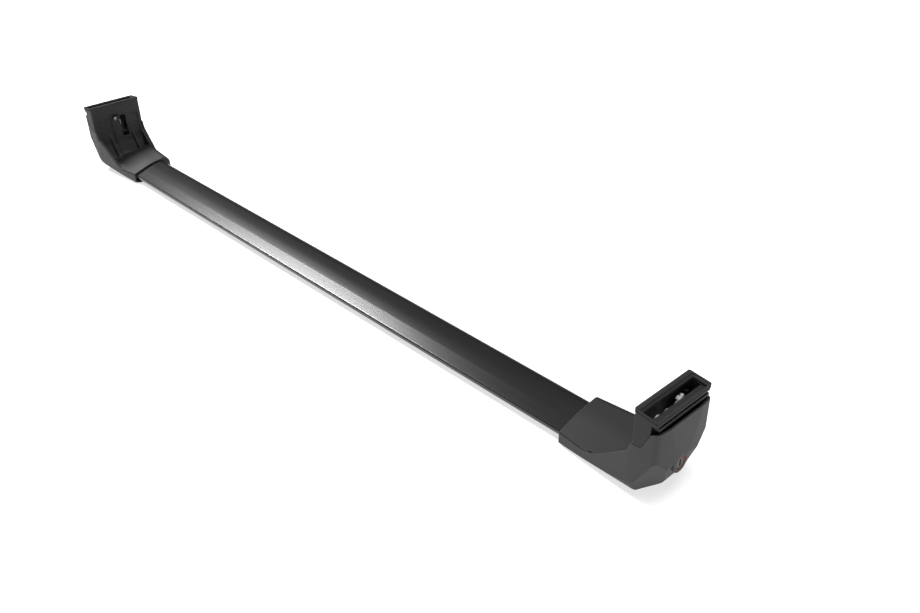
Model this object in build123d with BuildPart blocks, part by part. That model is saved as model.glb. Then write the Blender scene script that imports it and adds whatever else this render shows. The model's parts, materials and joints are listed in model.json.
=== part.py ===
from build123d import *
import os
from math import atan2, cos, radians, sin, tan

# Roof rack crossbar: a hollow wing bar with a locking foot on each end.
# It lies upside down, feet up, as it is stored: +X runs along the bar, +Y is the
# rounded nose of the wing, +Z points to the car side. The origin is on the floor
# under the middle of the bar. All sizes are in millimetres.

os.makedirs("parts", exist_ok=True)

# Bar: the wing section has its thin edge at -Y and its nose at +Y
bar_length = 1216.0
bar_end_x = bar_length / 2
bar_thin_y = -32.5
bar_nose_y = 30.5
bar_floor_z = 3.4
bar_wall = 2.2
bar_top_z_thin = 16.4
crown_y = 0.0
crown_slope_thin = 0.36
crown_slope_nose = 0.14
crown_radius = 150.0
nose_radius_up = 12.0
nose_radius_floor = 10.0
thin_edge_z = 10.0
thin_edge_radius = 2.6
belly_flat_y = 21.5
belly_radius = 60.0

# Accessory slot along the bar and the rubber strip that closes it
slot_y = 8.0
slot_mouth = 11.0
slot_width = 20.0
slot_depth = 7.0
strip_gap = 0.3
strip_flange = 1.8
strip_proud = 0.4

# Foot: outline seen from above and from the side
foot_start_x = bar_end_x - 68.0
foot_face_x = bar_end_x + 76.0
face_bulge = 4.5
foot_thin_y = -37.0
foot_nose_y = 40.0
foot_half_width = 50.0
flare_end_x = bar_end_x + 44.0
floor_end_x = bar_end_x + 40.0
belly_x = bar_end_x + 70.0
belly_z = 16.0
face_low_x = bar_end_x + 80.5
face_low_z = 52.0
face_top_x = bar_end_x + 78.0
foot_wall = 2.6
face_corner_radius = 7.0
flare_radius = 80.0
thin_floor_radius = 26.0
nose_floor_radius = 14.0
slide_gap = 0.4
least_radius = 1.0

# Corner facets that narrow the lower face of the foot down to the lock
facet_corner = (bar_end_x + 79.0, foot_half_width, 73.0)
facet_normal = (0.740, 0.524, -0.421)
facet_edge_radius = 2.0

# Parting line between the sliding cover and the leg, as X and Z
band_z = 17.5
arch_start_x = bar_end_x - 18.0
arch_end_x = bar_end_x + 38.0
arch_end_z = 62.0
step_x = bar_end_x + 42.0
step_z = 75.0
shoulder_x = bar_end_x + 56.0
shoulder_z = 77.0
lip_x = bar_end_x + 68.0
lip_z = 103.0
cover_top_z = 107.0
parting_radii = (50.0, 20.0, 3.0, 8.0, 8.0)

# Neck and mouth of the leg
neck_inner_x = bar_end_x + 43.5
neck_outer_x = bar_end_x + 73.5
neck_half_width = foot_half_width - 0.4
neck_corner_radius = 2.5
neck_top_inner_z = 120.5
rim_drop = 3.7
groove_low_z = 107.5
beam_low_z = 100.5
skirt_low_z = 72.0
leg_wall = 4.0
groove_high_z = 113.5
groove_x = bar_end_x + 66.0
mouth_x = bar_end_x + 48.5
mouth_step_x = bar_end_x + 62.5
mouth_far_x = bar_end_x + 71.5
mouth_step_z = 116.0
mouth_y_low = 2.6 - neck_half_width
mouth_y_high = neck_half_width - 4.6

# Rubber boot on the neck
boot_height = 5.0
boot_overhang = 0.5
boot_lip = 3.5
boot_edge_radius = 0.8
boot_step = 0.9
boot_step_depth = 1.4

# Ribbed wall that faces the bar
pit_start_x = bar_end_x + 14.0
pit_bend_x = bar_end_x + 26.0
wall_low_x = bar_end_x + 40.0
wall_low_z = 48.0
wall_high_z = 78.0
pit_floor_z = 24.0
wall_x = bar_end_x + 46.0
wall_thickness = 3.0
collar_z = 101.5
rib_width = 2.6
stem_y = 3.5
stem_width = 15.0
stem_height = 2.6
gusset_ys = (21.0, -25.0)
gusset_top_z = 72.0
window_start_x = bar_end_x + 22.0
wall_windows = ((-11.5, 13.0, 56.0, 98.0), (2.5, 7.0, 88.0, 98.0), (10.2, 3.4, 95.0, 98.4))

# Lock in the foot's face
lock_y = -4.0
lock_z = 44.0
lock_radius = 8.0
lock_front_x = bar_end_x + 79.4
lock_back_x = bar_end_x + 58.0
ring_width = 2.2
ring_outer_radius = lock_radius + ring_width
boss_radius = ring_outer_radius + 2.8
boss_front_x = bar_end_x + 80.0
boss_back_x = bar_end_x + 60.0
boss_root_x = bar_end_x + 66.0
ring_depth = 1.8
key_slot_width = 2.2
key_slot_length = 9.0
turn_gap = 0.08
cam_reach = 15.0
cam_width = 8.0
cam_thickness = 2.4
cam_shaft_radius = 3.0
cam_screw_radius = 4.0
cam_screw_height = 2.4
key_slot_depth = 1.5
post_x = bar_end_x + 59.0
post_thickness = 3.0
post_width = 16.0
post_top_z = 32.5
post_foot_z = 17.0

# Clamp gear inside the leg
gear_x = bar_end_x + 56.0
gear_room_x = bar_end_x + 32.0
screw_y = -10.0
screw_radius = 3.0
screw_tip_z = 104.0
tip_dome = 2.4
socket_flats = 5.0
socket_depth = 3.0
shelf_z = 62.0
shelf_thickness = 4.0
washer_thickness = 1.5
washer_radius = 7.0
head_flats = 10.0
head_height = 5.0
carriage_low_z = 78.0
carriage_high_z = 88.0
carriage_half_x = 5.4
carriage_low_y = -26.0
lug_y = -21.0
lug_z = 100.5
lug_radius = 4.8
lug_thickness = 6.0
carriage_high_y = 8.0
tie_y = 1.0
tie_z = 95.0
tie_lean = 50.0
tie_length = 27.0
tie_radius = 2.5
tie_pin_radius = 2.5
eye_radius = 5.5
eye_thickness = 5.2
ear_thickness = 2.4
tie_nut_start = 18.0
tie_nut_flats = 9.0
tie_nut_height = 4.5
retainer_height = 1.2
guide_width = 2.4
fin_ys = (28.0, 36.0)
fin_depth = 6.5
fit_gap = 0.05
seat_gap = 0.3

# Fasteners that hold the leg's tongues in the bar
tongue_gap = 0.3
tongue_start_x = foot_start_x + 8.0
fixing_xs = (bar_end_x - 46.0, bar_end_x - 18.0)
fixing_radius = 3.0
fixing_head_radius = 4.9
fixing_head_height = 3.4
fixing_socket_flats = 4.0
fixing_length = 14.0

crown_z = bar_top_z_thin + crown_slope_thin * (crown_y - bar_thin_y)
rim_slope = rim_drop / (neck_outer_x - neck_inner_x)


def wing_corners():
    """Corners of the bar's section as Y, Z with the radius that rounds each one."""
    return [
        ((bar_thin_y, thin_edge_z), 3.0),
        ((bar_thin_y + belly_flat_y, bar_floor_z), belly_radius),
        ((bar_nose_y, bar_floor_z), nose_radius_floor),
        ((bar_nose_y, crown_z + crown_slope_nose * (bar_nose_y - crown_y)), nose_radius_up),
        ((crown_y, crown_z), crown_radius),
        ((bar_thin_y, bar_top_z_thin), thin_edge_radius),
    ]


def outline(corners):
    """Closed outline through rounded corners, drawn in the sketch that is open."""
    with BuildLine() as path:
        FilletPolyline(*[point for point, radius in corners],
                       radius=[radius for point, radius in corners], close=True)
    make_face(path.edges())


def parting_points(lift):
    """The parting line from the bar end of the foot to its face, raised by lift."""
    return [
        (arch_start_x - lift, band_z + lift),
        (arch_end_x - lift, arch_end_z + lift),
        (step_x - lift, step_z + lift),
        (shoulder_x - lift, shoulder_z + lift),
        (lip_x - lift, lip_z + lift),
    ]


def cover_half_widths(x):
    """Outer Y of the foot at x, on its thin side and on its nose side."""
    share = (x - foot_start_x) / (flare_end_x - foot_start_x)
    thin = foot_thin_y - share * (foot_half_width + foot_thin_y)
    nose = foot_nose_y + share * (foot_half_width - foot_nose_y)
    return thin, nose


def facet_plane(side, inset):
    """Plane that cuts a lower corner of the foot's face, on the side of -Y or +Y."""
    normal = Vector(facet_normal[0], side * facet_normal[1], facet_normal[2]).normalized()
    corner = Vector(facet_corner[0], side * facet_corner[1], facet_corner[2])
    return Plane(origin=corner - normal * inset, z_dir=normal)


def on_plane(edge, plane):
    """True for an edge that lies in the plane."""
    return all(abs(plane.to_local_coords(edge.position_at(share)).Z) < 0.01 for share in (0.1, 0.5, 0.9))


def foot_form(inset, start_x, facet_radius=0.0):
    """Outer form of a foot, moved inwards by inset, with its bar end at start_x."""
    thin, nose = cover_half_widths(start_x)
    with BuildPart() as form:
        with BuildSketch(Plane.XY.offset(inset)):
            with BuildLine():
                thin_start = (start_x, thin + inset)
                thin_end = (flare_end_x, inset - foot_half_width)
                face_thin = (foot_face_x - inset, inset - foot_half_width)
                face_middle = (foot_face_x + face_bulge - inset, 0)
                face_nose = (foot_face_x - inset, foot_half_width - inset)
                nose_end = (flare_end_x, foot_half_width - inset)
                nose_start = (start_x, nose - inset)
                Polyline(face_nose, nose_end, nose_start, thin_start, thin_end, face_thin)
                ThreePointArc(face_thin, face_middle, face_nose)
            make_face()
            face_corners = vertices().filter_by_position(Axis.X, foot_face_x - inset - 1, foot_face_x + 1)
            fillet(face_corners, radius=max(face_corner_radius - inset, least_radius))
            flare_corners = vertices().filter_by_position(Axis.X, flare_end_x - 1, flare_end_x + 1)
            fillet(flare_corners, radius=flare_radius)
        extrude(amount=cover_top_z + 30)
        with BuildSketch(Plane.YZ.offset(start_x - 1)):
            outline([
                ((inset - foot_half_width, inset), thin_floor_radius - inset),
                ((foot_half_width - inset, inset), nose_floor_radius - inset),
                ((foot_half_width - inset, cover_top_z + 40), 0),
                ((inset - foot_half_width, cover_top_z + 40), 0),
            ])
        extrude(amount=foot_face_x + 20 - start_x, mode=Mode.INTERSECT)
        with BuildSketch(Plane.XZ):
            outline([
                ((start_x - 1, inset), 0),
                ((floor_end_x - inset / 4, inset), 20.0),
                ((belly_x - inset * 0.75, belly_z + inset * 0.8), 14.0),
                ((face_low_x - inset, face_low_z), 30.0),
                ((face_top_x - inset, cover_top_z + 29), 0),
                ((start_x - 1, cover_top_z + 29), 0),
            ])
        extrude(amount=2 * foot_half_width, both=True, mode=Mode.INTERSECT)
        facets = [facet_plane(side, inset) for side in (-1, 1)]
        for facet in facets:
            split(bisect_by=facet, keep=Keep.BOTTOM)
        if facet_radius:
            rims = edges().filter_by(lambda edge: any(on_plane(edge, facet) for facet in facets))
            fillet(rims, radius=facet_radius)
    return form.part


# Bar: extruded wing with two webs and the accessory slot
with BuildSketch(Plane.YZ) as bar_outline:
    outline(wing_corners())
with BuildSketch(Plane.YZ) as bar_core:
    add(bar_outline.sketch_local)
    offset(amount=-bar_wall, mode=Mode.REPLACE)
with BuildSketch(Plane.YZ) as slot_housing:
    with Locations((slot_y, bar_floor_z)):
        Rectangle(slot_width + 2 * bar_wall, 80)
slot_floor_z = bar_floor_z + bar_wall
slot_roof_z = slot_floor_z + slot_depth
with BuildSketch(Plane.YZ) as middle_cell:
    with Locations((slot_y, slot_roof_z + bar_wall)):
        Rectangle(slot_width, 40, align=(Align.CENTER, Align.MIN))
    add(bar_core.sketch_local, mode=Mode.INTERSECT)
with BuildSketch(Plane.YZ) as side_cells:
    add(bar_core.sketch_local)
    add(slot_housing.sketch_local, mode=Mode.SUBTRACT)
with BuildSketch(Plane.YZ) as slot_space:
    with Locations((slot_y, slot_floor_z)):
        Rectangle(slot_width, slot_depth, align=(Align.CENTER, Align.MIN))
    with Locations((slot_y, bar_floor_z - 1)):
        Rectangle(slot_mouth, bar_wall + 2, align=(Align.CENTER, Align.MIN))
with BuildPart() as bar_extrusion:
    with BuildSketch(Plane.YZ):
        add(bar_outline.sketch_local)
        add(middle_cell.sketch_local, mode=Mode.SUBTRACT)
        add(side_cells.sketch_local, mode=Mode.SUBTRACT)
        add(slot_space.sketch_local, mode=Mode.SUBTRACT)
    extrude(amount=bar_end_x, both=True)
    with Locations(*[Location((side * x, slot_y, slot_roof_z)) for side in (-1, 1) for x in fixing_xs]):
        Cylinder(fixing_radius + 0.2, 4 * bar_wall, mode=Mode.SUBTRACT)
bar_extrusion.part.label = "bar_extrusion"
export_step(bar_extrusion.part, "parts/bar_extrusion.step")

# Rubber strip: a T section pressed into the slot between the two feet
strip_end_x = foot_start_x - 2.0
with BuildPart() as slot_strip:
    with BuildSketch(Plane.YZ):
        with Locations((slot_y, slot_floor_z + strip_gap)):
            Rectangle(slot_width - 2.0, strip_flange, align=(Align.CENTER, Align.MIN))
        with Locations((slot_y, bar_floor_z - strip_proud)):
            Rectangle(slot_mouth - 2 * strip_gap, slot_floor_z - bar_floor_z + strip_proud + strip_gap,
                      align=(Align.CENTER, Align.MIN))
    extrude(amount=strip_end_x, both=True)
slot_strip.part.label = "slot_strip"
export_step(slot_strip.part, "parts/slot_strip.step")

# Solids of the right-hand foot, by name; the left-hand foot is their mirror image
foot_parts = {}

# Cover: the shell that wraps the foot and slides off along the bar
foot_outside = foot_form(0.0, foot_start_x, facet_edge_radius)
foot_inside = foot_form(foot_wall, foot_start_x - 20)
with BuildPart() as cover:
    add(foot_outside)
    add(foot_inside, mode=Mode.SUBTRACT)
    with Locations(Location((boss_back_x, lock_y, lock_z), (0, 90, 0))):
        Cylinder(ring_outer_radius, boss_front_x - boss_back_x, align=(Align.CENTER, Align.CENTER, Align.MIN))
    with Locations(Location((boss_root_x, lock_y, lock_z), (0, 90, 0))):
        Cylinder(boss_radius, boss_front_x - boss_root_x, align=(Align.CENTER, Align.CENTER, Align.MIN))
    with BuildSketch(Plane.XZ):
        with BuildLine():
            parting = FilletPolyline((foot_start_x - 5, band_z), *parting_points(0),
                                     (face_top_x + 12, cover_top_z), radius=parting_radii)
            Polyline(parting @ 1, (face_top_x + 12, 200), (foot_start_x - 5, 200), parting @ 0)
        make_face()
    extrude(amount=2 * foot_half_width, both=True, mode=Mode.SUBTRACT)
    with Locations(Location((boss_back_x - 1, lock_y, lock_z), (0, 90, 0))):
        Cylinder(lock_radius + turn_gap, 40, align=(Align.CENTER, Align.CENTER, Align.MIN), mode=Mode.SUBTRACT)
    with Locations(Location((boss_front_x - ring_depth, lock_y, lock_z), (0, 90, 0))):
        Cylinder(ring_outer_radius, 10, align=(Align.CENTER, Align.CENTER, Align.MIN), mode=Mode.SUBTRACT)
foot_parts["cover"] = cover.part


# Leg: the moulding that grips the bar and carries the boot and the clamp gear
arch_turn = atan2(arch_end_z - band_z, arch_end_x - arch_start_x)
arc_from_x = arch_start_x - parting_radii[0] * tan(arch_turn / 2)
saddle_low_z = band_z + slide_gap
saddle_thin_z = 19.8
saddle_wall = 3.4
saddle_radius = 11.0
leg_floor_z = 4.0
leg_edge_radius = 5.5
middle_z = 35.0
cuff_low_z = 11.8
leg_front_x = groove_x
bar_hole_end_x = bar_end_x + 0.5

def saddle_section(x, side_gap, low_z):
    """Outline of the saddle over the bar at x, set in from the foot's sides."""
    thin, nose = cover_half_widths(x)
    outline([
        ((thin + side_gap, low_z), 0),
        ((nose - side_gap, low_z), 0),
        ((nose - side_gap, crown_z + saddle_wall + crown_slope_nose * (nose - crown_y)), saddle_radius),
        ((crown_y, crown_z + saddle_wall), crown_radius),
        ((thin + side_gap, saddle_thin_z), 2.0),
    ])


def leg_section(inwards):
    """Front view of the leg inside the cover, narrow enough to let the cover slide off."""
    start = cover_half_widths(foot_start_x)
    arch = cover_half_widths(arc_from_x)
    middle_x = arch_start_x + (middle_z - band_z) / tan(arch_turn)
    middle = cover_half_widths(middle_x)
    side = foot_wall + slide_gap + inwards
    top = neck_half_width - side
    outline([
        ((start[0] + side, leg_floor_z + inwards), leg_edge_radius),
        ((start[1] - side, leg_floor_z + inwards), leg_edge_radius),
        ((start[1] - side, saddle_low_z), 0),
        ((arch[1] - side, saddle_low_z), 0),
        ((middle[1] - side, middle_z), 0),
        ((top, arch_end_z), 0),
        ((top, neck_top_inner_z + 20), 0),
        ((-top, neck_top_inner_z + 20), 0),
        ((-top, arch_end_z), 0),
        ((middle[0] + side, middle_z), 0),
        ((arch[0] + side, saddle_low_z), 0),
        ((start[0] + side, saddle_low_z), 0),
    ])


def profile_prism(corners, low_y, high_y):
    """Solid between two Y values whose side view is the rounded outline."""
    with BuildPart() as prism:
        with BuildSketch(Plane.XZ.offset(-high_y)):
            outline(corners)
        extrude(amount=high_y - low_y)
    return prism.part


def section_prism(corners, low_x, high_x):
    """Solid between two X values whose front view is the rounded outline."""
    with BuildPart() as prism:
        with BuildSketch(Plane.YZ.offset(low_x)):
            outline(corners)
        extrude(amount=high_x - low_x)
    return prism.part


def wall_curve(shift):
    """Side view of the ribbed wall's face, moved towards the foot's face by shift."""
    return [
        ((pit_start_x + shift, pit_floor_z - shift), 4.0),
        ((pit_bend_x + shift * 0.4, pit_floor_z - shift), 10.0),
        ((wall_low_x + shift * 0.9, wall_low_z - shift * 0.3), 24.0),
        ((wall_x + shift, wall_high_z), 20.0),
        ((wall_x + shift, collar_z - 4.5), 0),
    ]


def along_bar(x, y, z):
    """Place with its own Z along the bar, outwards."""
    return Location((x, y, z), (0, 90, 0))


def under_parting(lift):
    """Solid that fills the foot below its parting line, with the line raised by lift."""
    corners = list(zip(parting_points(lift), parting_radii))
    return profile_prism(
        [((foot_start_x - 5, -5), 0), ((face_top_x + 12, -5), 0), ((face_top_x + 12, cover_top_z + lift), 0)]
        + corners[::-1] + [((foot_start_x - 5, band_z + lift), 0)],
        -2 * foot_half_width, 2 * foot_half_width)


with BuildPart() as leg_room:
    with BuildSketch(Plane.YZ.offset(foot_start_x)):
        leg_section(0.0)
    extrude(amount=leg_front_x - foot_start_x + 10)
    add(foot_form(foot_wall + slide_gap, foot_start_x), mode=Mode.INTERSECT)
with BuildPart() as pit:
    with BuildSketch(Plane.XZ):
        outline(wall_curve(0.0) + [((neck_inner_x - 4, collar_z), 0), ((pit_start_x, collar_z), 0)])
    extrude(amount=neck_half_width, both=True)
    with BuildSketch(Plane.YZ.offset(pit_start_x)):
        leg_section(leg_wall)
    extrude(amount=80, mode=Mode.INTERSECT)
with BuildPart() as gear_room:
    with BuildSketch(Plane.XZ):
        outline([
            ((wall_x + wall_thickness, beam_low_z), 0),
            ((wall_x + wall_thickness, wall_high_z), 20.0),
            ((wall_low_x + wall_thickness, wall_low_z), 20.0),
            ((gear_room_x, wall_low_z - 18), 0),
            ((gear_room_x, leg_floor_z + 5), 0),
            ((leg_front_x + 20, leg_floor_z + 5), 0),
            ((leg_front_x + 20, skirt_low_z), 0),
            ((mouth_step_x, skirt_low_z), 0),
            ((mouth_step_x, beam_low_z), 0),
        ])
    extrude(amount=neck_half_width, both=True)
    with BuildSketch(Plane.YZ.offset(pit_start_x)):
        leg_section(leg_wall)
    extrude(amount=120, mode=Mode.INTERSECT)
    add(foot_form(foot_wall + slide_gap + leg_wall, foot_start_x), mode=Mode.INTERSECT)
with BuildPart() as trough:
    with BuildSketch(Plane.YZ.offset(foot_start_x)):
        leg_section(3.0)
    extrude(amount=pit_start_x + 0.2 - foot_start_x)
with BuildSketch(Plane.YZ) as bar_hole:
    add(bar_outline.sketch_local)
    offset(amount=tongue_gap, mode=Mode.REPLACE)
with BuildSketch(Plane.YZ) as tongues:
    add(middle_cell.sketch_local)
    add(side_cells.sketch_local.faces().sort_by(Axis.X)[0])
    offset(amount=-tongue_gap, mode=Mode.REPLACE)

with BuildPart() as saddle:
    with BuildSketch(Plane.YZ.offset(foot_start_x)):
        saddle_section(foot_start_x, slide_gap, band_z)
    with BuildSketch(Plane.YZ.offset(pit_start_x + 0.2)):
        saddle_section(pit_start_x, slide_gap, band_z)
    loft(ruled=True)
with BuildPart() as neck:
    with BuildSketch(Plane.XZ):
        outline([
            ((neck_inner_x, arch_end_z), 0),
            ((neck_outer_x, arch_end_z), 0),
            ((neck_outer_x, neck_top_inner_z - rim_drop), 0),
            ((neck_inner_x, neck_top_inner_z), 0),
        ])
    extrude(amount=neck_half_width, both=True)
    fillet(edges().filter_by(Axis.Z), radius=neck_corner_radius)
    with Locations((groove_x, 0, arch_end_z)):
        Box(2 * (neck_outer_x - groove_x), 4 * neck_half_width, groove_high_z - arch_end_z,
            align=(Align.MIN, Align.CENTER, Align.MIN), mode=Mode.SUBTRACT)
with BuildPart() as flush_parts:
    add([saddle.part, neck.part])
    add(under_parting(slide_gap), mode=Mode.SUBTRACT)
with BuildPart() as inner_saddle:
    add(saddle.part)
    add(leg_room.part, mode=Mode.INTERSECT)
with BuildPart() as leg:
    with BuildSketch(Plane.XZ):
        outline([
            ((arch_start_x + 1, leg_floor_z), 0),
            ((leg_front_x, leg_floor_z), 0),
            ((leg_front_x, groove_high_z), 0),
            ((neck_inner_x, groove_high_z), 0),
            ((neck_inner_x, step_z + 1), 6.0),
            ((arch_end_x + 1, arch_end_z - 1), 8.0),
            ((arch_start_x + 1, band_z - 1), 0),
        ])
    extrude(amount=neck_half_width, both=True)
    add(leg_room.part, mode=Mode.INTERSECT)
    add(trough.part, mode=Mode.SUBTRACT)
    # cuff round the bar, then the saddle over it and the neck
    with BuildSketch(Plane.YZ.offset(foot_start_x)):
        thin_side, nose_side = cover_half_widths(foot_start_x)
        outline([
            ((thin_side + foot_wall + slide_gap, cuff_low_z), 0),
            ((nose_side - foot_wall - slide_gap, cuff_low_z), 0),
            ((nose_side - foot_wall - slide_gap, saddle_low_z + 2), 0),
            ((thin_side + foot_wall + slide_gap, saddle_low_z + 2), 0),
        ])
    extrude(amount=pit_start_x - foot_start_x)
    add([inner_saddle.part, flush_parts.part])
    add(gear_room.part, mode=Mode.SUBTRACT)
    add(pit.part, mode=Mode.SUBTRACT)
    # mouth, with a step towards the face side
    mouth_width = mouth_y_high - mouth_y_low
    mouth_middle = (mouth_y_high + mouth_y_low) / 2
    with Locations((mouth_x, mouth_middle, arch_end_z + 10)):
        Box(mouth_step_x - mouth_x, mouth_width, 80, align=(Align.MIN, Align.CENTER, Align.MIN),
            mode=Mode.SUBTRACT)
    with Locations((mouth_x, mouth_middle, mouth_step_z)):
        Box(mouth_far_x - mouth_x, mouth_width, 20, align=(Align.MIN, Align.CENTER, Align.MIN),
            mode=Mode.SUBTRACT)
    # room for the bar, and the tongues that plug into it
    with BuildSketch(Plane.YZ.offset(foot_start_x - 1)):
        add(bar_hole.sketch_local)
    extrude(amount=bar_hole_end_x - foot_start_x + 1, mode=Mode.SUBTRACT)
    with BuildSketch(Plane.YZ.offset(tongue_start_x)):
        add(tongues.sketch_local)
    extrude(amount=bar_hole_end_x + 1 - tongue_start_x)
    with Locations(*[(x, slot_y, slot_roof_z) for x in fixing_xs]):
        Cylinder(fixing_radius + fit_gap, 2 * fixing_length, mode=Mode.SUBTRACT)
    # shelf that the clamp screw pulls on, and the post that the lock's cam catches
    with Locations((wall_x + 1, 0, shelf_z)):
        Box(leg_front_x - wall_x - 2, 2 * neck_half_width - 12, shelf_thickness,
            align=(Align.MIN, Align.CENTER, Align.MIN))
    with Locations((post_x, lock_y, post_foot_z)):
        Box(post_thickness, post_width, post_top_z - post_foot_z, align=(Align.MIN, Align.CENTER, Align.MIN))
    with Locations((gear_x, screw_y, shelf_z + shelf_thickness / 2)):
        Cylinder(screw_radius + seat_gap, 2 * shelf_thickness, mode=Mode.SUBTRACT)
    # guides on both sides of the carriage, and stiffening fins beside them
    guide_ys = (carriage_low_y - seat_gap, carriage_high_y + seat_gap + guide_width)
    with Locations(*[(wall_x + 1, y, shelf_z) for y in guide_ys]):
        Box(gear_x + carriage_half_x - wall_x - 2, guide_width, carriage_high_z - shelf_z - 4,
            align=(Align.MIN, Align.MAX, Align.MIN))
    with Locations(*[(wall_x + 1, y, shelf_z) for y in fin_ys]):
        Box(fin_depth, rib_width, groove_low_z - shelf_z, align=(Align.MIN, Align.CENTER, Align.MIN))

pit_cap = [((neck_inner_x - 4, collar_z), 0), ((pit_start_x - 1, collar_z), 0)]
gusset_corners = [
    ((wall_x + 1, gusset_top_z), 0),
    ((wall_x + 1, pit_floor_z - 1), 0),
    ((pit_start_x + 3, pit_floor_z - 1), 0),
]


def ribs_on_wall(turn):
    """Stem and gussets of the ribbed wall; turn is 1, or -1 for the other foot's pattern."""
    stem_low = turn * stem_y - stem_width / 2
    pieces = [profile_prism(wall_curve(1.0) + pit_cap, stem_low, stem_low + stem_width)
              - profile_prism(wall_curve(-stem_height) + pit_cap, stem_low - 1, stem_low + stem_width + 1)]
    for y in gusset_ys:
        low = turn * y - rib_width / 2
        pieces.append(profile_prism(gusset_corners, low, low + rib_width)
                      & profile_prism(wall_curve(1.0) + pit_cap, low, low + rib_width))
    return pieces


def windows_in_wall(turn):
    """Openings through the ribbed wall, in the same pattern as its ribs."""
    cutters = []
    for y, width, low_z, high_z in wall_windows:
        left = turn * y - width / 2
        round_end = width / 2 - 0.5
        round_start = round_end / 3
        cutters.append(section_prism([
            ((left, low_z), round_start),
            ((left + width, low_z), round_start),
            ((left + width, high_z), round_end),
            ((left, high_z), round_end),
        ], window_start_x, wall_x + wall_thickness + 0.5))
    return cutters


def finished_leg(turn):
    """The leg with the pattern of ribs and windows that belongs to one foot."""
    ribs = ribs_on_wall(turn)
    windows = windows_in_wall(turn)
    with BuildPart() as moulding:
        add(leg.part)
        add(ribs)
        add(windows, mode=Mode.SUBTRACT)
    return moulding.part


foot_parts["leg"] = finished_leg(1)

# Boot: the rubber frame on the neck, which rests on the car
boot_low_inner_z = neck_top_inner_z + rim_slope * boot_overhang
boot_low_outer_z = neck_top_inner_z - rim_drop - rim_slope * boot_overhang
with BuildPart() as boot:
    with BuildSketch(Plane.XZ):
        outline([
            ((neck_inner_x - boot_overhang, boot_low_inner_z), 0),
            ((neck_outer_x + boot_overhang, boot_low_outer_z), 0),
            ((neck_outer_x + boot_overhang, boot_low_outer_z + boot_height), 0),
            ((neck_inner_x - boot_overhang, boot_low_inner_z + boot_height), 0),
        ])
    extrude(amount=neck_half_width + boot_overhang, both=True)
    fillet(edges().filter_by(Axis.Z), radius=neck_corner_radius)
    boot_top = faces().sort_by(Axis.Z)[-1]
    fillet(boot_top.edges(), radius=boot_edge_radius)
    # opening, wider at the top by a step all round
    with Locations((mouth_x + boot_lip, mouth_middle, neck_top_inner_z - 10)):
        Box(mouth_far_x - mouth_x - boot_lip, mouth_width, 30, align=(Align.MIN, Align.CENTER, Align.MIN),
            mode=Mode.SUBTRACT)
    boot_step_floor_z = boot_low_inner_z + boot_height - boot_step_depth
    with BuildSketch(Plane.XZ.offset(-mouth_middle)):
        outline([
            ((mouth_x + boot_lip - boot_step, boot_step_floor_z - rim_slope * boot_lip), 0),
            ((mouth_far_x + boot_step, boot_low_outer_z + boot_height - boot_step_depth), 0),
            ((mouth_far_x + boot_step, boot_low_inner_z + 2 * boot_height), 0),
            ((mouth_x + boot_lip - boot_step, boot_low_inner_z + 2 * boot_height), 0),
        ])
    extrude(amount=mouth_width / 2 + boot_step, both=True, mode=Mode.SUBTRACT)
foot_parts["boot"] = boot.part

# Lock: ring, barrel with its key slot, cam and the screw that holds the cam
with BuildPart() as lock_ring:
    with Locations(along_bar(boss_front_x - ring_depth, lock_y, lock_z)):
        Cylinder(ring_outer_radius - 0.1, ring_depth - 0.4, align=(Align.CENTER, Align.CENTER, Align.MIN))
        Cylinder(lock_radius + 0.2, 3 * ring_depth, mode=Mode.SUBTRACT)
foot_parts["lock_ring"] = lock_ring.part

cam_back_x = lock_back_x - 1 - cam_thickness
with BuildPart() as lock_barrel:
    with Locations(along_bar(lock_back_x, lock_y, lock_z)):
        Cylinder(lock_radius, lock_front_x - lock_back_x, align=(Align.CENTER, Align.CENTER, Align.MIN))
    with Locations(along_bar(cam_back_x, lock_y, lock_z)):
        Cylinder(cam_shaft_radius, lock_back_x - cam_back_x, align=(Align.CENTER, Align.CENTER, Align.MIN))
    chamfer(edges().filter_by(GeomType.CIRCLE).sort_by(Axis.X)[-1], length=0.6)
    with Locations(along_bar(lock_front_x, lock_y, lock_z)):
        Box(key_slot_length, key_slot_width, 2 * key_slot_depth, mode=Mode.SUBTRACT)
foot_parts["lock_barrel"] = lock_barrel.part

with BuildPart() as lock_cam:
    with BuildSketch(Plane.YZ.offset(cam_back_x)):
        with Locations((lock_y, lock_z)):
            Circle(cam_width / 2 + 2)
        with Locations((lock_y, lock_z)):
            Rectangle(cam_reach, cam_width, align=(Align.MAX, Align.CENTER))
        with Locations((lock_y, lock_z)):
            Circle(cam_shaft_radius + 0.02, mode=Mode.SUBTRACT)
    extrude(amount=cam_thickness)
    fillet(edges().filter_by(Axis.X).sort_by(Axis.Y)[0:2], radius=1.5)
foot_parts["lock_cam"] = lock_cam.part

with BuildPart() as cam_screw:
    with Locations(along_bar(cam_back_x - cam_screw_height, lock_y, lock_z)):
        Cylinder(cam_screw_radius, cam_screw_height, align=(Align.CENTER, Align.CENTER, Align.MIN))
        Box(cam_screw_radius * 1.5, 0.9, 1.2, mode=Mode.SUBTRACT)
foot_parts["cam_screw"] = cam_screw.part

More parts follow.
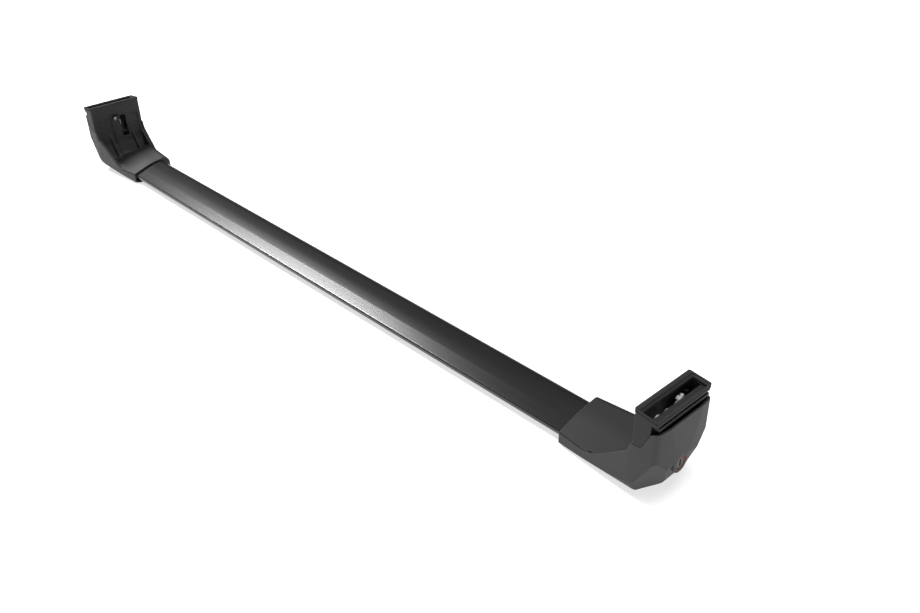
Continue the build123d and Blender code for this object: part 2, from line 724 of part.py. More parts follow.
# Clamp gear: a screw that turns in the shelf and draws the carriage and its tie bolt
head_top_z = shelf_z - washer_thickness
with BuildPart() as tension_screw:
    with BuildSketch(Plane.XY.offset(head_top_z - head_height)):
        with Locations((gear_x, screw_y)):
            RegularPolygon(head_flats / 2, 6, major_radius=False)
    extrude(amount=head_height)
    with Locations((gear_x, screw_y, head_top_z)):
        Cylinder(screw_radius, screw_tip_z - head_top_z, align=(Align.CENTER, Align.CENTER, Align.MIN))
    fillet(edges().filter_by(GeomType.CIRCLE).sort_by(Axis.Z)[-1], radius=tip_dome)
    with BuildSketch(Plane.XY.offset(head_top_z - head_height)):
        with Locations((gear_x, screw_y)):
            RegularPolygon(socket_flats / 2, 6, major_radius=False)
    extrude(amount=socket_depth, mode=Mode.SUBTRACT)
foot_parts["tension_screw"] = tension_screw.part

with BuildPart() as screw_washer:
    with Locations((gear_x, screw_y, head_top_z)):
        Cylinder(washer_radius, washer_thickness, align=(Align.CENTER, Align.CENTER, Align.MIN))
        Cylinder(screw_radius + seat_gap, 4 * washer_thickness, mode=Mode.SUBTRACT)
foot_parts["screw_washer"] = screw_washer.part

with BuildPart() as screw_retainer:
    with Locations((gear_x, screw_y, shelf_z + shelf_thickness + seat_gap)):
        Cylinder(screw_radius + 2.2, retainer_height, align=(Align.CENTER, Align.CENTER, Align.MIN))
        Cylinder(screw_radius + 0.02, 4 * retainer_height, mode=Mode.SUBTRACT)
foot_parts["screw_retainer"] = screw_retainer.part

with BuildPart() as carriage:
    with Locations((gear_x, carriage_low_y, carriage_low_z)):
        Box(2 * carriage_half_x, carriage_high_y - carriage_low_y, carriage_high_z - carriage_low_z,
            align=(Align.CENTER, Align.MIN, Align.MIN))
    fillet(edges().filter_by(Axis.Z), radius=1.0)
    ear_offset = carriage_half_x - ear_thickness / 2
    ear_centres = (gear_x - ear_offset, gear_x + ear_offset)
    with Locations([(x, tie_y, carriage_high_z - 1) for x in ear_centres]):
        Box(ear_thickness, 2 * eye_radius, tie_z - carriage_high_z + 1, align=(Align.CENTER, Align.CENTER, Align.MIN))
    with Locations([along_bar(x, tie_y, tie_z) for x in ear_centres]):
        Cylinder(eye_radius, ear_thickness)
    with Locations((gear_x, lug_y, carriage_high_z - 1)):
        Box(lug_thickness, 2 * lug_radius, lug_z - carriage_high_z + 1,
            align=(Align.CENTER, Align.CENTER, Align.MIN))
    with Locations(along_bar(gear_x, lug_y, lug_z)):
        Cylinder(lug_radius, lug_thickness)
    with Locations(along_bar(gear_x, tie_y, tie_z)):
        Cylinder(tie_pin_radius, 4 * carriage_half_x, mode=Mode.SUBTRACT)
    with Locations((gear_x, screw_y, carriage_low_z)):
        Cylinder(screw_radius + fit_gap, 4 * (carriage_high_z - carriage_low_z), mode=Mode.SUBTRACT)
foot_parts["carriage"] = carriage.part

with BuildPart() as tie_pin:
    with Locations(along_bar(gear_x, tie_y, tie_z)):
        Cylinder(tie_pin_radius, 2 * carriage_half_x + 0.8)
    chamfer(edges().filter_by(GeomType.CIRCLE), length=0.3)
foot_parts["tie_pin"] = tie_pin.part

tie_axis = Plane(origin=(gear_x, tie_y, tie_z), x_dir=(1, 0, 0),
                 z_dir=(0, sin(radians(tie_lean)), cos(radians(tie_lean))))
with BuildPart() as tie_bolt:
    with Locations(along_bar(gear_x, tie_y, tie_z)):
        Cylinder(eye_radius, eye_thickness)
    with BuildSketch(tie_axis):
        Circle(tie_radius)
    extrude(amount=tie_length)
    chamfer(edges().filter_by(GeomType.CIRCLE).sort_by(Axis.Z)[-1], length=0.6)
    with Locations(along_bar(gear_x, tie_y, tie_z)):
        Cylinder(tie_pin_radius + fit_gap, 4 * carriage_half_x, mode=Mode.SUBTRACT)
foot_parts["tie_bolt"] = tie_bolt.part

with BuildPart() as tie_nut:
    with BuildSketch(tie_axis.offset(tie_nut_start)):
        RegularPolygon(tie_nut_flats / 2, 6, major_radius=False)
        Circle(tie_radius + 0.02, mode=Mode.SUBTRACT)
    extrude(amount=tie_nut_height)
foot_parts["tie_nut"] = tie_nut.part

# Fixing screws: through the floor of the slot into the leg's tongue
with BuildPart() as fixing_screws:
    for x in fixing_xs:
        with Locations((x, slot_y, slot_roof_z - fixing_head_height)):
            Cylinder(fixing_head_radius, fixing_head_height, align=(Align.CENTER, Align.CENTER, Align.MIN))
            Cylinder(fixing_radius, fixing_length, align=(Align.CENTER, Align.CENTER, Align.MIN))
        with BuildSketch(Plane.XY.offset(slot_roof_z - fixing_head_height)):
            with Locations((x, slot_y)):
                RegularPolygon(fixing_socket_flats / 2, 6, major_radius=False)
        extrude(amount=fixing_head_height / 2, mode=Mode.SUBTRACT)
foot_parts["fixing_screws"] = fixing_screws.part

# Every piece of the right-hand foot, and its mirror image for the left-hand foot
for name, solid in foot_parts.items():
    solid.label = name + "_right"
    export_step(solid, f"parts/{name}_right.step")
    source = finished_leg(-1) if name == "leg" else solid
    twin = mirror(source, about=Plane.YZ)
    twin.label = name + "_left"
    export_step(twin, f"parts/{name}_left.step")
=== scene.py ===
# %% [markdown]
# A roof rack crossbar lies upside down on a white studio floor: a hollow wing of black painted
# aluminium, with a moulded foot on each end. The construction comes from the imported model, which is
# loaded first as a fixed frame. This notebook gives that frame its finishes, adds the small things
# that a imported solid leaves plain, and then sets the light and the camera as in the photograph.

import json
from math import cos, pi, radians, sin

import bmesh
import bpy
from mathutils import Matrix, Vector


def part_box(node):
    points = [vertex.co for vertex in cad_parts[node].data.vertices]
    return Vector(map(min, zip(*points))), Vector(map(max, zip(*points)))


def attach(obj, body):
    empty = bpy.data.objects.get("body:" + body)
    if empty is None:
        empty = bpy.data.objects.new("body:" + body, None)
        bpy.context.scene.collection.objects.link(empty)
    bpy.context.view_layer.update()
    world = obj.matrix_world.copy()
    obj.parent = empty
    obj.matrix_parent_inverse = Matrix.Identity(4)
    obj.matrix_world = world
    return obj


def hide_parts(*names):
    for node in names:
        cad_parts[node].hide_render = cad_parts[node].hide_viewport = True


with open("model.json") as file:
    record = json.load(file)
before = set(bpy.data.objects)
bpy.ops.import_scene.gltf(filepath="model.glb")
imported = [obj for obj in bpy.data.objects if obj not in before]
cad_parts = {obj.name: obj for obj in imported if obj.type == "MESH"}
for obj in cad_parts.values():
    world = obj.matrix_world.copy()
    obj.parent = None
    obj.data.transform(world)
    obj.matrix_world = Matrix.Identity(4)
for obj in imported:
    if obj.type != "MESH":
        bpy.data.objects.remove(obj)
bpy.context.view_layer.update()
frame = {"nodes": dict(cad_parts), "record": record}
mm = 0.001
sides = {"right": 1, "left": -1}

# %% [markdown]
# Shader trees are easier to read when one line adds one node. These helpers add a node to a tree and
# set its sockets by name. A value is either a number or colour, or the output of another node, which
# is then linked. Each of the short ones gives back the output that the next node needs.

# %% Helpers: add nodes to a tree
def fill(tree, socket, value):
    """Set a socket to a number, vector or red-green-blue colour, or link it to another node's output."""
    if isinstance(value, bpy.types.NodeSocket):
        tree.links.new(value, socket)
    elif socket.type == "RGBA":
        socket.default_value = (*value, 1)
    else:
        socket.default_value = value


def fill_all(tree, node, sockets):
    for name, value in sockets.items():
        fill(tree, node.inputs[name.replace("_", " ")], value)
    return node


def add_node(tree, kind, **sockets):
    return fill_all(tree, tree.nodes.new(kind), sockets)


def add_group(tree, group, **sockets):
    node = tree.nodes.new("ShaderNodeGroup")
    node.node_tree = group
    return fill_all(tree, node, sockets).outputs


def add_math(tree, operation, *values):
    node = tree.nodes.new("ShaderNodeMath")
    node.operation = operation
    for socket, value in zip(node.inputs, values):
        fill(tree, socket, value)
    return node.outputs["Value"]


def add_range(tree, value, **limits):
    return add_node(tree, "ShaderNodeMapRange", Value=value, **limits).outputs["Result"]


def add_mix(tree, factor, first, second, blend="MIX"):
    node = tree.nodes.new("ShaderNodeMix")
    node.data_type = "RGBA"
    node.blend_type = blend
    return fill_all(tree, node, {"Factor": factor, "A": first, "B": second}).outputs["Result"]


def add_noise(tree, place, scale, detail):
    return add_node(tree, "ShaderNodeTexNoise", Vector=place, Scale=scale, Detail=detail).outputs["Fac"]


def object_place(tree):
    """Coordinates that stay with the object wherever it moves."""
    return add_node(tree, "ShaderNodeTexCoord").outputs["Object"]


def new_group(name, inputs, outputs):
    """An empty node group with its sockets; inputs map a name to a socket kind and a start value."""
    group = bpy.data.node_groups.new(name, "ShaderNodeTree")
    for label, (kind, start) in inputs.items():
        socket = group.interface.new_socket(label, in_out="INPUT", socket_type=kind)
        socket.default_value = start
    for label, kind in outputs.items():
        group.interface.new_socket(label, in_out="OUTPUT", socket_type=kind)
    entry = group.nodes.new("NodeGroupInput")
    result = group.nodes.new("NodeGroupOutput")
    return group, entry.outputs, result.inputs


def new_material(name):
    material = bpy.data.materials.new(name)
    material.use_nodes = True
    return material, material.node_tree, material.node_tree.nodes["Principled BSDF"]


# %% [markdown]
# Nearly every plastic on the foot was moulded against a spark-eroded steel surface, which leaves a
# fine, even grain. The grain is made of two noises: a fine one for the grain itself, and a broad one
# that makes the tone drift a little, as a large moulding does. Both go into one node group, so each
# plastic can have its own grain size and depth.

# %% Node group: moulded grain
def make_grain_group():
    group, given, result = new_group(
        "moulded_grain",
        {
            "Colour": ("NodeSocketColor", (0.08, 0.08, 0.08, 1)),
            "Grain Scale": ("NodeSocketFloat", 2200.0),
            "Drift": ("NodeSocketFloat", 0.12),
            "Roughness": ("NodeSocketFloat", 0.55),
        },
        {"Colour": "NodeSocketColor", "Roughness": "NodeSocketFloat", "Height": "NodeSocketFloat"})
    darkest_tone = 0.94
    grain_in_roughness = 0.16
    place = object_place(group)
    fine = add_noise(group, place, given["Grain Scale"], 2.0)
    broad = add_noise(group, place, 28.0, 3.0)
    tone = add_math(group, "MULTIPLY_ADD", broad, given["Drift"], darkest_tone)
    fill(group, result["Colour"], add_mix(group, 1.0, given["Colour"], tone, "MULTIPLY"))
    uneven = add_math(group, "MULTIPLY_ADD", fine, grain_in_roughness, given["Roughness"])
    fill(group, result["Roughness"], uneven)
    fill(group, result["Height"], fine)
    return group


moulded_grain = make_grain_group()

# %% [markdown]
# No moulded or stamped edge is truly sharp. A small radius runs along it, which catches a thin line of
# light, and handling rubs it paler. Cutting that radius into every edge would cost many faces. The
# Bevel node finds the edges instead: it hands out a normal that is rounded near an edge, and where
# that normal leaves the flat one, the mask rises. The finishes paint their edges paler with this mask,
# which is partly real wear and partly a painted highlight along the edge. A noise breaks the mask up,
# since wear is patchy.

# %% Node group: soft edge
def make_edge_group():
    group, given, result = new_group(
        "soft_edge",
        {"Radius": ("NodeSocketFloat", 0.0006), "Strength": ("NodeSocketFloat", 0.5)},
        {"Mask": "NodeSocketFloat", "Normal": "NodeSocketVector"})
    rounded = add_node(group, "ShaderNodeBevel", Radius=given["Radius"])
    rounded.samples = 6
    agreement = group.nodes.new("ShaderNodeVectorMath")
    agreement.operation = "DOT_PRODUCT"
    fill(group, agreement.inputs[0], rounded.outputs["Normal"])
    fill(group, agreement.inputs[1], add_node(group, "ShaderNodeNewGeometry").outputs["Normal"])
    rise = add_range(group, agreement.outputs["Value"], From_Min=0.985, From_Max=0.80)
    patchy = add_math(group, "MULTIPLY", rise, add_noise(group, object_place(group), 240.0, 3.0))
    fill(group, result["Mask"], add_math(group, "MULTIPLY", patchy, given["Strength"]))
    fill(group, result["Normal"], rounded.outputs["Normal"])
    return group


soft_edge = make_edge_group()

# %% [markdown]
# Fine scuffs are what tells a handled part from a drawing of one. Two noises, each stretched hard
# along its own direction, are cut off so that only their sharpest crests stay as hairlines. They make
# the surface a little rougher there and hardly change its colour.

# %% Node group: hairline scuffs
def make_scuff_group():
    group, given, result = new_group(
        "hairline_scuffs",
        {"Scale": ("NodeSocketFloat", 60.0), "Amount": ("NodeSocketFloat", 0.3)},
        {"Mask": "NodeSocketFloat"})
    place = object_place(group)
    crests = []
    for angle, stretch in ((0.5, (1.0, 14.0, 14.0)), (-0.9, (14.0, 1.0, 14.0))):
        turned = add_node(group, "ShaderNodeMapping", Vector=place, Rotation=(angle, 0.3, angle),
                          Scale=stretch)
        noise = add_noise(group, turned.outputs["Vector"], given["Scale"], 1.0)
        crests.append(add_range(group, noise, From_Min=0.68, From_Max=0.74))
    both = add_math(group, "MAXIMUM", *crests)
    fill(group, result["Mask"], add_math(group, "MULTIPLY", both, given["Amount"]))
    return group


hairline_scuffs = make_scuff_group()

# %% [markdown]
# A finish is a Principled shader fed by such groups. The grain also drives a Bump node, which makes
# the grain catch light without adding any faces, and the Bump node starts from the rounded normal.
# All lengths in a finish are in metres.

# %% Helper: a plastic with moulded grain
def grained_plastic(name, colour, roughness, grain_scale, depth, drift=0.12, edge_radius=0.0006, edge_wear_and_highlight=0.5):
    material, tree, shader = new_material(name)
    grain = add_group(tree, moulded_grain, Colour=colour, Roughness=roughness, Grain_Scale=grain_scale,
                      Drift=drift)
    edge = add_group(tree, soft_edge, Radius=edge_radius, Strength=edge_wear_and_highlight)
    scuffs = add_group(tree, hairline_scuffs)["Mask"]
    # The edges are painted paler by the edge mask: partly real wear, partly a painted highlight along each
    # edge.
    edges_worn_and_highlighted = add_mix(tree, edge["Mask"], grain["Colour"], [0.17 + channel * 1.5 for channel in colour])
    scuffed = add_mix(tree, scuffs, edges_worn_and_highlighted, [0.02 + channel for channel in colour])
    bump = add_node(tree, "ShaderNodeBump", Height=grain["Height"], Normal=edge["Normal"], Distance=depth,
                    Strength=0.6)
    fill_all(tree, shader, {
        "Base Color": scuffed,
        "Roughness": add_math(tree, "MULTIPLY_ADD", scuffs, 0.25, grain["Roughness"]),
        "Normal": bump.outputs["Normal"],
    })
    shader.inputs["Specular IOR Level"].default_value = 0.38
    return material


# %% Plastics and rubber of the foot
housing = grained_plastic("housing_charcoal", (0.027, 0.0277, 0.0287), 0.52, 2400, 0.00012, edge_wear_and_highlight=1.0)
leg_finish = grained_plastic("leg_black", (0.0075, 0.0077, 0.008), 0.52, 1900, 0.00012, edge_wear_and_highlight=0.9)
rubber = grained_plastic("rubber_matt", (0.012, 0.0122, 0.0128), 0.68, 1500, 0.00010,
                         drift=0.2, edge_radius=0.0008, edge_wear_and_highlight=1.0)
ring_orange = grained_plastic("ring_orange", (0.30, 0.050, 0.010), 0.40, 3000, 0.00004,
                              edge_radius=0.0003, edge_wear_and_highlight=0.2)

# %% [markdown]
# The bar is extruded aluminium with a satin black paint. Paint levels out into a very faint orange
# peel, and the extrusion below leaves hair-fine lines along the bar, which are made by stretching a
# noise far along X.

# %% Paint of the bar
def bar_paint():
    material, tree, shader = new_material("bar_satin_black")
    place = object_place(tree)
    stretched = add_node(tree, "ShaderNodeMapping", Vector=place, Scale=(3.0, 900.0, 900.0))
    lines = add_noise(tree, stretched.outputs["Vector"], 1.0, 2.0)
    peel = add_noise(tree, place, 700.0, 2.0)
    height = add_math(tree, "MULTIPLY_ADD", lines, 0.35, peel)
    edge = add_group(tree, soft_edge, Radius=0.0008, Strength=0.35)
    bump = add_node(tree, "ShaderNodeBump", Height=height, Normal=edge["Normal"], Distance=0.00003,
                    Strength=0.025)
    drift = add_noise(tree, place, 9.0, 3.0)
    paint = add_mix(tree, drift, (0.008, 0.0083, 0.009), (0.014, 0.0143, 0.015))
    # The edges are painted paler by the edge mask: partly wear, partly a painted highlight along each edge.
    fill_all(tree, shader, {
        "Base Color": add_mix(tree, edge["Mask"], paint, (0.05, 0.05, 0.052)),
        "Roughness": add_range(tree, lines, To_Min=0.20, To_Max=0.27),
        "Normal": bump.outputs["Normal"],
    })
    return material


bar_black = bar_paint()

# %% [markdown]
# The clamp gear is zinc plated steel. Zinc is bright but slightly cloudy, so one noise drives both its
# colour and its roughness, and the same recipe in a darker grey gives the lock its die-cast barrel.

# %% Metals of the lock and the clamp gear
def plated_metal(name, colour, roughness, cloud_scale, metallic):
    material, tree, shader = new_material(name)
    clouds = add_noise(tree, object_place(tree), cloud_scale, 4.0)
    edge = add_group(tree, soft_edge, Radius=0.0003, Strength=0.6)
    bump = add_node(tree, "ShaderNodeBump", Height=clouds, Normal=edge["Normal"], Distance=0.00004,
                    Strength=0.4)
    cloudy = add_mix(tree, clouds, [channel * 0.82 for channel in colour], colour)
    fill_all(tree, shader, {
        # The edges are painted brighter by the edge mask: partly wear, partly a painted highlight along
        # each edge.
        "Base Color": add_mix(tree, edge["Mask"], cloudy, [min(1.0, channel * 1.25) for channel in colour]),
        "Roughness": add_range(tree, clouds, To_Min=roughness - 0.08, To_Max=roughness + 0.12),
        "Normal": bump.outputs["Normal"],
    })
    shader.inputs["Metallic"].default_value = metallic
    return material


zinc = plated_metal("zinc_plate", (0.90, 0.90, 0.88), 0.34, 900, 0.55)
barrel_grey = plated_metal("barrel_grey", (0.075, 0.076, 0.078), 0.42, 1500, 1.0)

# %% [markdown]
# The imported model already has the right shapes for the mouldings, so they stay as they are and only
# get their finishes. The record says which material slot each node belongs to.

# %% Give every node its finish
finish_of_slot = {
    "bar_alloy": bar_black,
    "housing_plastic": housing,
    "leg_plastic": leg_finish,
    "rubber": rubber,
    "ring_plastic": ring_orange,
    "lock_metal": barrel_grey,
    "zinc_steel": zinc,
}
for subpart in frame["record"]["subparts"]:
    node = frame["nodes"][subpart["node"]]
    node.data.materials.clear()
    node.data.materials.append(finish_of_slot[subpart["material_slot"]])

# %% [markdown]
# The next pieces are shaped one by one, mostly from blocks. These helpers keep that short. They make a
# block between two corners, select faces, edges or corners by a rule, cut one mesh from another, and
# soften the edges with a Bevel modifier. Bevelling last keeps every cut before it simple.

# %% Helpers for pieces shaped one by one
smooth_angle = radians(35)


def across(sign, near, far):
    """Low and high X of something between two distances from the middle of the bar."""
    return sorted((sign * near, sign * far))


def start_block(name, low, high):
    bpy.ops.object.select_all(action="DESELECT")
    bpy.ops.mesh.primitive_cube_add(size=1, location=[(a + b) / 2 for a, b in zip(low, high)])
    block = bpy.context.object
    block.name = name
    block.scale = [b - a for a, b in zip(low, high)]
    bpy.ops.object.transform_apply(location=True, rotation=True, scale=True)
    return block


def make_active(piece):
    bpy.ops.object.select_all(action="DESELECT")
    piece.select_set(True)
    bpy.context.view_layer.objects.active = piece


def select_where(piece, kind, wanted):
    """In edit mode, select the verts, edges or faces for which wanted(part) holds."""
    bpy.ops.mesh.select_all(action="DESELECT")
    bpy.ops.mesh.select_mode(type={"verts": "VERT", "edges": "EDGE", "faces": "FACE"}[kind])
    mesh = bmesh.from_edit_mesh(piece.data)
    for part in getattr(mesh, kind):
        part.select_set(wanted(part))
    bmesh.update_edit_mesh(piece.data)


def cut_away(piece, low, high):
    """Subtract the block between two corners from a closed mesh."""
    cutter = start_block("cutter", low, high)
    make_active(piece)
    cut = piece.modifiers.new("cut", "BOOLEAN")
    cut.operation = "DIFFERENCE"
    cut.solver = "EXACT"
    cut.object = cutter
    bpy.ops.object.modifier_apply(modifier="cut")
    bpy.data.objects.remove(cutter)


def soften(piece, width, segments):
    make_active(piece)
    soft = piece.modifiers.new("soft", "BEVEL")
    soft.width = width
    soft.segments = segments
    soft.limit_method = "ANGLE"
    soft.angle_limit = radians(40)
    bpy.ops.object.modifier_apply(modifier="soft")
    bpy.ops.object.shade_smooth_by_angle(angle=smooth_angle)


# %% [markdown]
# The foot stands on the car with a rubber boot, a frame that is stretched over the foot's neck. The
# moulded rubber has a broad step inside its rim and a groove round its wall, where the mould's halves
# met. The frame starts as a block with rounded corners. The mouth and the step are cut from it, four
# cuts mark the groove's edges, and the loops between them are drawn inwards. Last of all the frame is
# tilted, because its face leans towards the car's roof.

# %% Rubber boots
boot_height = 5.0 * mm
boot_corner_radius = 2.5 * mm
boot_slope = 0.1233
mouth_near, mouth_far = 660.0 * mm, 679.5 * mm
mouth_front, mouth_back = -47.0 * mm, 45.0 * mm
step_near, step_far = mouth_near - 3.2 * mm, mouth_far + 1.1 * mm
step_front, step_back = mouth_front - 1.6 * mm, mouth_back + 2.4 * mm
step_depth = 1.7 * mm
groove_cuts = [depth * mm for depth in (2.2, 2.5, 3.3, 3.6)]
groove_reach_x, groove_reach_y = 2.04 * mm, 2.72 * mm
past = 10 * mm
near_by = 1 * mm

for side, sign in sides.items():
    low, high = (Vector(corner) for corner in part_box("boot_" + side))
    centre = (low + high) / 2
    top = high.z
    boot = start_block("boot_frame_" + side, (low.x, low.y, top - boot_height), (high.x, high.y, top))
    bpy.ops.object.mode_set(mode="EDIT")
    select_where(boot, "edges", lambda edge: abs(edge.verts[0].co.z - edge.verts[1].co.z) > near_by)
    bpy.ops.mesh.bevel(offset=boot_corner_radius, segments=5)
    bpy.ops.object.mode_set(mode="OBJECT")
    x_low, x_high = across(sign, mouth_near, mouth_far)
    cut_away(boot, (x_low, mouth_front, top - past), (x_high, mouth_back, top + past))
    x_low, x_high = across(sign, step_near, step_far)
    cut_away(boot, (x_low, step_front, top - step_depth), (x_high, step_back, top + past))
    make_active(boot)
    bpy.ops.object.mode_set(mode="EDIT")
    for depth in groove_cuts:
        bpy.ops.mesh.select_all(action="SELECT")
        bpy.ops.mesh.bisect(plane_co=(0, 0, top - depth), plane_no=(0, 0, 1))

    def in_groove(vert):
        outside = (abs(vert.co.x - centre.x) > (high.x - low.x) / 2 - groove_reach_x
                   or abs(vert.co.y - centre.y) > (high.y - low.y) / 2 - groove_reach_y)
        in_mouth = (mouth_front - near_by < vert.co.y < mouth_back + near_by
                    and mouth_near - near_by < abs(vert.co.x) < mouth_far + near_by)
        return outside and not in_mouth and -3.4 * mm < vert.co.z - top < -2.4 * mm

    select_where(boot, "verts", in_groove)
    bpy.ops.transform.resize(value=(0.968, 0.990, 1), center_override=(centre.x, centre.y, centre.z))
    bpy.ops.mesh.select_all(action="SELECT")
    bpy.ops.mesh.remove_doubles(threshold=0.005 * mm)
    bpy.ops.mesh.normals_make_consistent(inside=False)
    bpy.ops.object.mode_set(mode="OBJECT")
    soften(boot, 0.3 * mm, 2)
    near_x = low.x if sign > 0 else high.x
    for vert in boot.data.vertices:
        vert.co.z -= boot_slope * abs(vert.co.x - near_x)
    boot.data.materials.append(rubber)
    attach(boot, "bar")
    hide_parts("boot_" + side)
    print(side, "boot:", len(boot.data.polygons), "faces,", round((high.y - low.y) / mm, 1), "mm long")

# %% [markdown]
# Between the boot and the cover's upper edge runs a narrow channel. A moulded ledge on the leg closes
# it, so that no water runs into the clamp gear. The ledge is a long block whose top is inset and
# pressed in to make the channel's floor.

# %% Ledges below the boots
ledge_near, ledge_far = 673.2 * mm, 682.4 * mm
ledge_half_length = 45.5 * mm
ledge_bottom, ledge_top = 107.0 * mm, 111.6 * mm
ledge_rim = 1.2 * mm
ledge_press = 0.8 * mm

for side, sign in sides.items():
    x_low, x_high = across(sign, ledge_near, ledge_far)
    ledge = start_block("channel_ledge_" + side, (x_low, -ledge_half_length, ledge_bottom),
                        (x_high, ledge_half_length, ledge_top))
    bpy.ops.object.mode_set(mode="EDIT")
    select_where(ledge, "faces", lambda face: face.normal.z > 0.9)
    bpy.ops.mesh.inset(thickness=ledge_rim)
    bpy.ops.transform.translate(value=(0, 0, -ledge_press))
    bpy.ops.object.mode_set(mode="OBJECT")
    soften(ledge, 0.5 * mm, 3)
    ledge.data.materials.append(leg_finish)
    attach(ledge, "bar")

# %% [markdown]
# The lock sits in a coloured ring, and a charcoal bead holds the ring in the cover's boss. The bead is
# a torus pressed flat against the face, so that only its rounded front shows.

# %% Beads round the locks
bead_x, bead_z = 687.55 * mm, 44.0 * mm
bead_major_radius, bead_minor_radius = 9.75 * mm, 0.85 * mm
bead_flatness = 0.75

for side, sign in sides.items():
    barrel_low, barrel_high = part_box("lock_barrel_" + side)
    bead_y = (barrel_low[1] + barrel_high[1]) / 2
    bpy.ops.object.select_all(action="DESELECT")
    bpy.ops.mesh.primitive_torus_add(major_segments=72, minor_segments=14, major_radius=bead_major_radius,
                                     minor_radius=bead_minor_radius, rotation=(0, pi / 2, 0),
                                     location=(sign * bead_x, bead_y, bead_z))
    bead = bpy.context.object
    bead.name = "lock_bead_" + side
    bpy.ops.object.transform_apply(location=True, rotation=True, scale=True)
    bpy.ops.object.mode_set(mode="EDIT")
    bpy.ops.mesh.select_all(action="SELECT")
    bpy.ops.transform.resize(value=(bead_flatness, 1, 1), center_override=(sign * bead_x, 0, bead_z))
    bpy.ops.object.mode_set(mode="OBJECT")
    bpy.ops.object.shade_smooth_by_angle(angle=smooth_angle)
    bead.data.materials.append(housing)
    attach(bead, "cover_" + side)

# %% [markdown]
# A screw in the imported model is a smooth shaft, because a thread has many faces and nothing rests on it.
# Where the clamp screw and the tie bolt show in the foot's mouth, the thread is what the eye looks for. A
# real thread is one ridge that climbs round the shaft, so one small triangle is drawn beside the axis, and
# the Screw modifier sweeps it round and up. A thread made of separate rings would look wrong up close.

# %% Helper: a thread round a shaft
def make_thread(name, foot, direction, shaft_radius, pitch, length):
    bpy.ops.object.select_all(action="DESELECT")
    bpy.ops.mesh.primitive_circle_add(vertices=3, radius=pitch * 0.5, rotation=(pi / 2, pi / 2, 0))
    thread = bpy.context.object
    thread.name = name
    bpy.ops.object.transform_apply(location=False, rotation=True, scale=False)
    bpy.ops.object.mode_set(mode="EDIT")
    bpy.ops.mesh.select_all(action="SELECT")
    bpy.ops.transform.resize(value=(0.75, 1, 1))
    bpy.ops.transform.translate(value=(shaft_radius, 0, 0))
    bpy.ops.object.mode_set(mode="OBJECT")
    sweep = thread.modifiers.new("sweep", "SCREW")
    sweep.angle = 2 * pi
    sweep.screw_offset = pitch
    sweep.iterations = int(length / pitch)
    sweep.steps = sweep.render_steps = 20
    sweep.use_normal_calculate = True
    bpy.ops.object.modifier_apply(modifier="sweep")
    bpy.ops.object.mode_set(mode="EDIT")
    bpy.ops.mesh.select_all(action="SELECT")
    bpy.ops.mesh.remove_doubles(threshold=0.01 * mm)
    bpy.ops.mesh.select_all(action="SELECT")
    bpy.ops.mesh.fill_holes(sides=3)
    bpy.ops.mesh.select_all(action="SELECT")
    bpy.ops.mesh.normals_make_consistent(inside=False)
    bpy.ops.object.mode_set(mode="OBJECT")
    bpy.ops.object.shade_smooth_by_angle(angle=smooth_angle)
    thread.rotation_euler = Vector(direction).to_track_quat("Z", "X").to_euler()
    thread.location = foot
    bpy.ops.object.transform_apply(location=True, rotation=True, scale=True)
    thread.data.materials.append(zinc)
    return thread


# %% Threads of the clamp screw and the tie bolt
screw_radius, screw_pitch = 3.0 * mm, 1.0 * mm
screw_thread_foot, screw_thread_length = 88.6 * mm, 12.4 * mm
tie_radius, tie_pitch = 2.5 * mm, 0.8 * mm
tie_eye_x, tie_eye_y, tie_eye_z = 664 * mm, 1 * mm, 95 * mm
tie_lean = radians(50)
tie_direction = Vector((0, sin(tie_lean), cos(tie_lean)))
tie_threads = {"shank": (8.5 * mm, 9.0 * mm), "tip": (23.0 * mm, 3.2 * mm)}

for side, sign in sides.items():
    screw_low, screw_high = (Vector(corner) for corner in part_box("tension_screw_" + side))
    screw_axis = (screw_low + screw_high) / 2
    screw_thread = make_thread("screw_thread_" + side, (screw_axis.x, screw_axis.y, screw_thread_foot),
                               (0, 0, 1), screw_radius, screw_pitch, screw_thread_length)
    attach(screw_thread, "screw_" + side)
    tie_eye = Vector((sign * tie_eye_x, tie_eye_y, tie_eye_z))
    for part, (start, length) in tie_threads.items():
        tie_thread = make_thread(f"tie_thread_{part}_{side}", tie_eye + tie_direction * start,
                                 tie_direction, tie_radius, tie_pitch, length)
        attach(tie_thread, "tie_" + side)
    print(side, "threads: screw", len(screw_thread.data.polygons), "faces")

# %% [markdown]
# The studio is a white floor that burns out to pure white. The paper glows a little by itself, as a
# lit backdrop does, and isn't sampled as a lamp, which keeps the picture clean. The floor is stage: it
# isn't part of the object.

# %% Floor
floor_size = 40
bpy.ops.object.select_all(action="DESELECT")
bpy.ops.mesh.primitive_plane_add(size=floor_size, location=(0, 0, 0))
floor = bpy.context.object
floor.name = "floor"
paper, paper_tree, paper_shader = new_material("white_paper")
fill_all(paper_tree, paper_shader, {
    "Base Color": (0.60, 0.60, 0.61),
    "Roughness": 0.9,
    "Specular IOR Level": 0.0,
    "Emission Color": (1, 1, 1),
    "Emission Strength": 0.66,
})
paper.cycles.emission_sampling = "NONE"
floor.data.materials.append(paper)

# %% [markdown]
# Three soft lights do the work. The softbox stands low beyond the far end, and draws the long soft
# reflection along the bar's front half. The large one overhead lights the floor and the tops, and the
# small one in front lifts the cover's outer face. The world adds a faint light from all sides. The
# camera sees it as pale as the far floor, so no horizon shows.

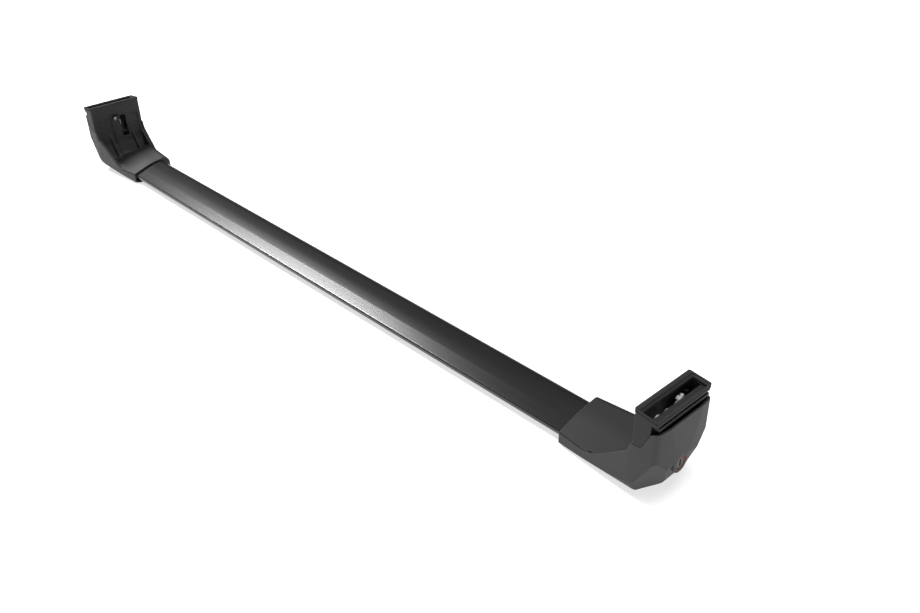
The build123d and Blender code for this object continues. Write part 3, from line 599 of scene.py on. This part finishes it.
# %% Light
def soft_light(name, at, target, width, height, power):
    lamp = bpy.data.lights.new(name, "AREA")
    lamp.shape = "RECTANGLE"
    lamp.size = width
    lamp.size_y = height
    lamp.energy = power
    holder = bpy.data.objects.new(name, lamp)
    bpy.context.scene.collection.objects.link(holder)
    holder.location = at
    holder.rotation_euler = (Vector(target) - Vector(at)).to_track_quat("-Z", "Y").to_euler()


soft_light("far_softbox", (-1.72, -0.24, 1.75), (0.0, 0, 0), 0.45, 0.75, 72)
soft_light("overhead", (0.6, 0.1, 3.2), (0.2, 0, 0), 2.6, 2.2, 88)
soft_light("face_light", (1.75, -0.75, 0.65), (0.65, 0, 0.05), 0.6, 0.5, 5)

world_light, world_seen = 0.08, 0.71
world = bpy.data.worlds.new("studio")
world.use_nodes = True
to_camera = add_node(world.node_tree, "ShaderNodeLightPath").outputs["Is Camera Ray"]
fill_all(world.node_tree, world.node_tree.nodes["Background"], {
    "Color": (1, 1, 1),
    "Strength": add_range(world.node_tree, to_camera, To_Min=world_light, To_Max=world_seen),
})
bpy.context.scene.world = world
bpy.context.scene.view_settings.view_transform = "Standard"

# %% [markdown]
# The camera was found by matching the corners of both rubber rims and the edges of the bar in the
# photograph with the same points of the model. It stands to the right of the bar, in front of it and
# above it, and looks down at 32 degrees.

# %% Camera
photo_width = 920
focal_pixels = 928.9
camera_place = Vector((1093.1, -712.6, 736.8)) * mm
camera_yaw = 2.390
camera_pitch = 0.556
camera_roll = -0.017
sensor_width = 36.0

level = cos(camera_pitch)
ahead = Vector((level * cos(camera_yaw), level * sin(camera_yaw), -sin(camera_pitch)))
level_right = ahead.cross(Vector((0, 0, 1))).normalized()
level_up = level_right.cross(ahead)
right = cos(camera_roll) * level_right + sin(camera_roll) * level_up
up = -sin(camera_roll) * level_right + cos(camera_roll) * level_up
lens = bpy.data.cameras.new("photo_view")
lens.sensor_width = sensor_width
lens.lens = focal_pixels * sensor_width / photo_width
camera = bpy.data.objects.new("photo_view", lens)
bpy.context.scene.collection.objects.link(camera)
turn = camera.matrix_world.to_3x3()
turn.col[0] = right
turn.col[1] = up
turn.col[2] = -ahead
camera.matrix_world = turn.to_4x4()
camera.location = camera_place
bpy.context.scene.camera = camera
print("lens", round(lens.lens, 2), "mm")
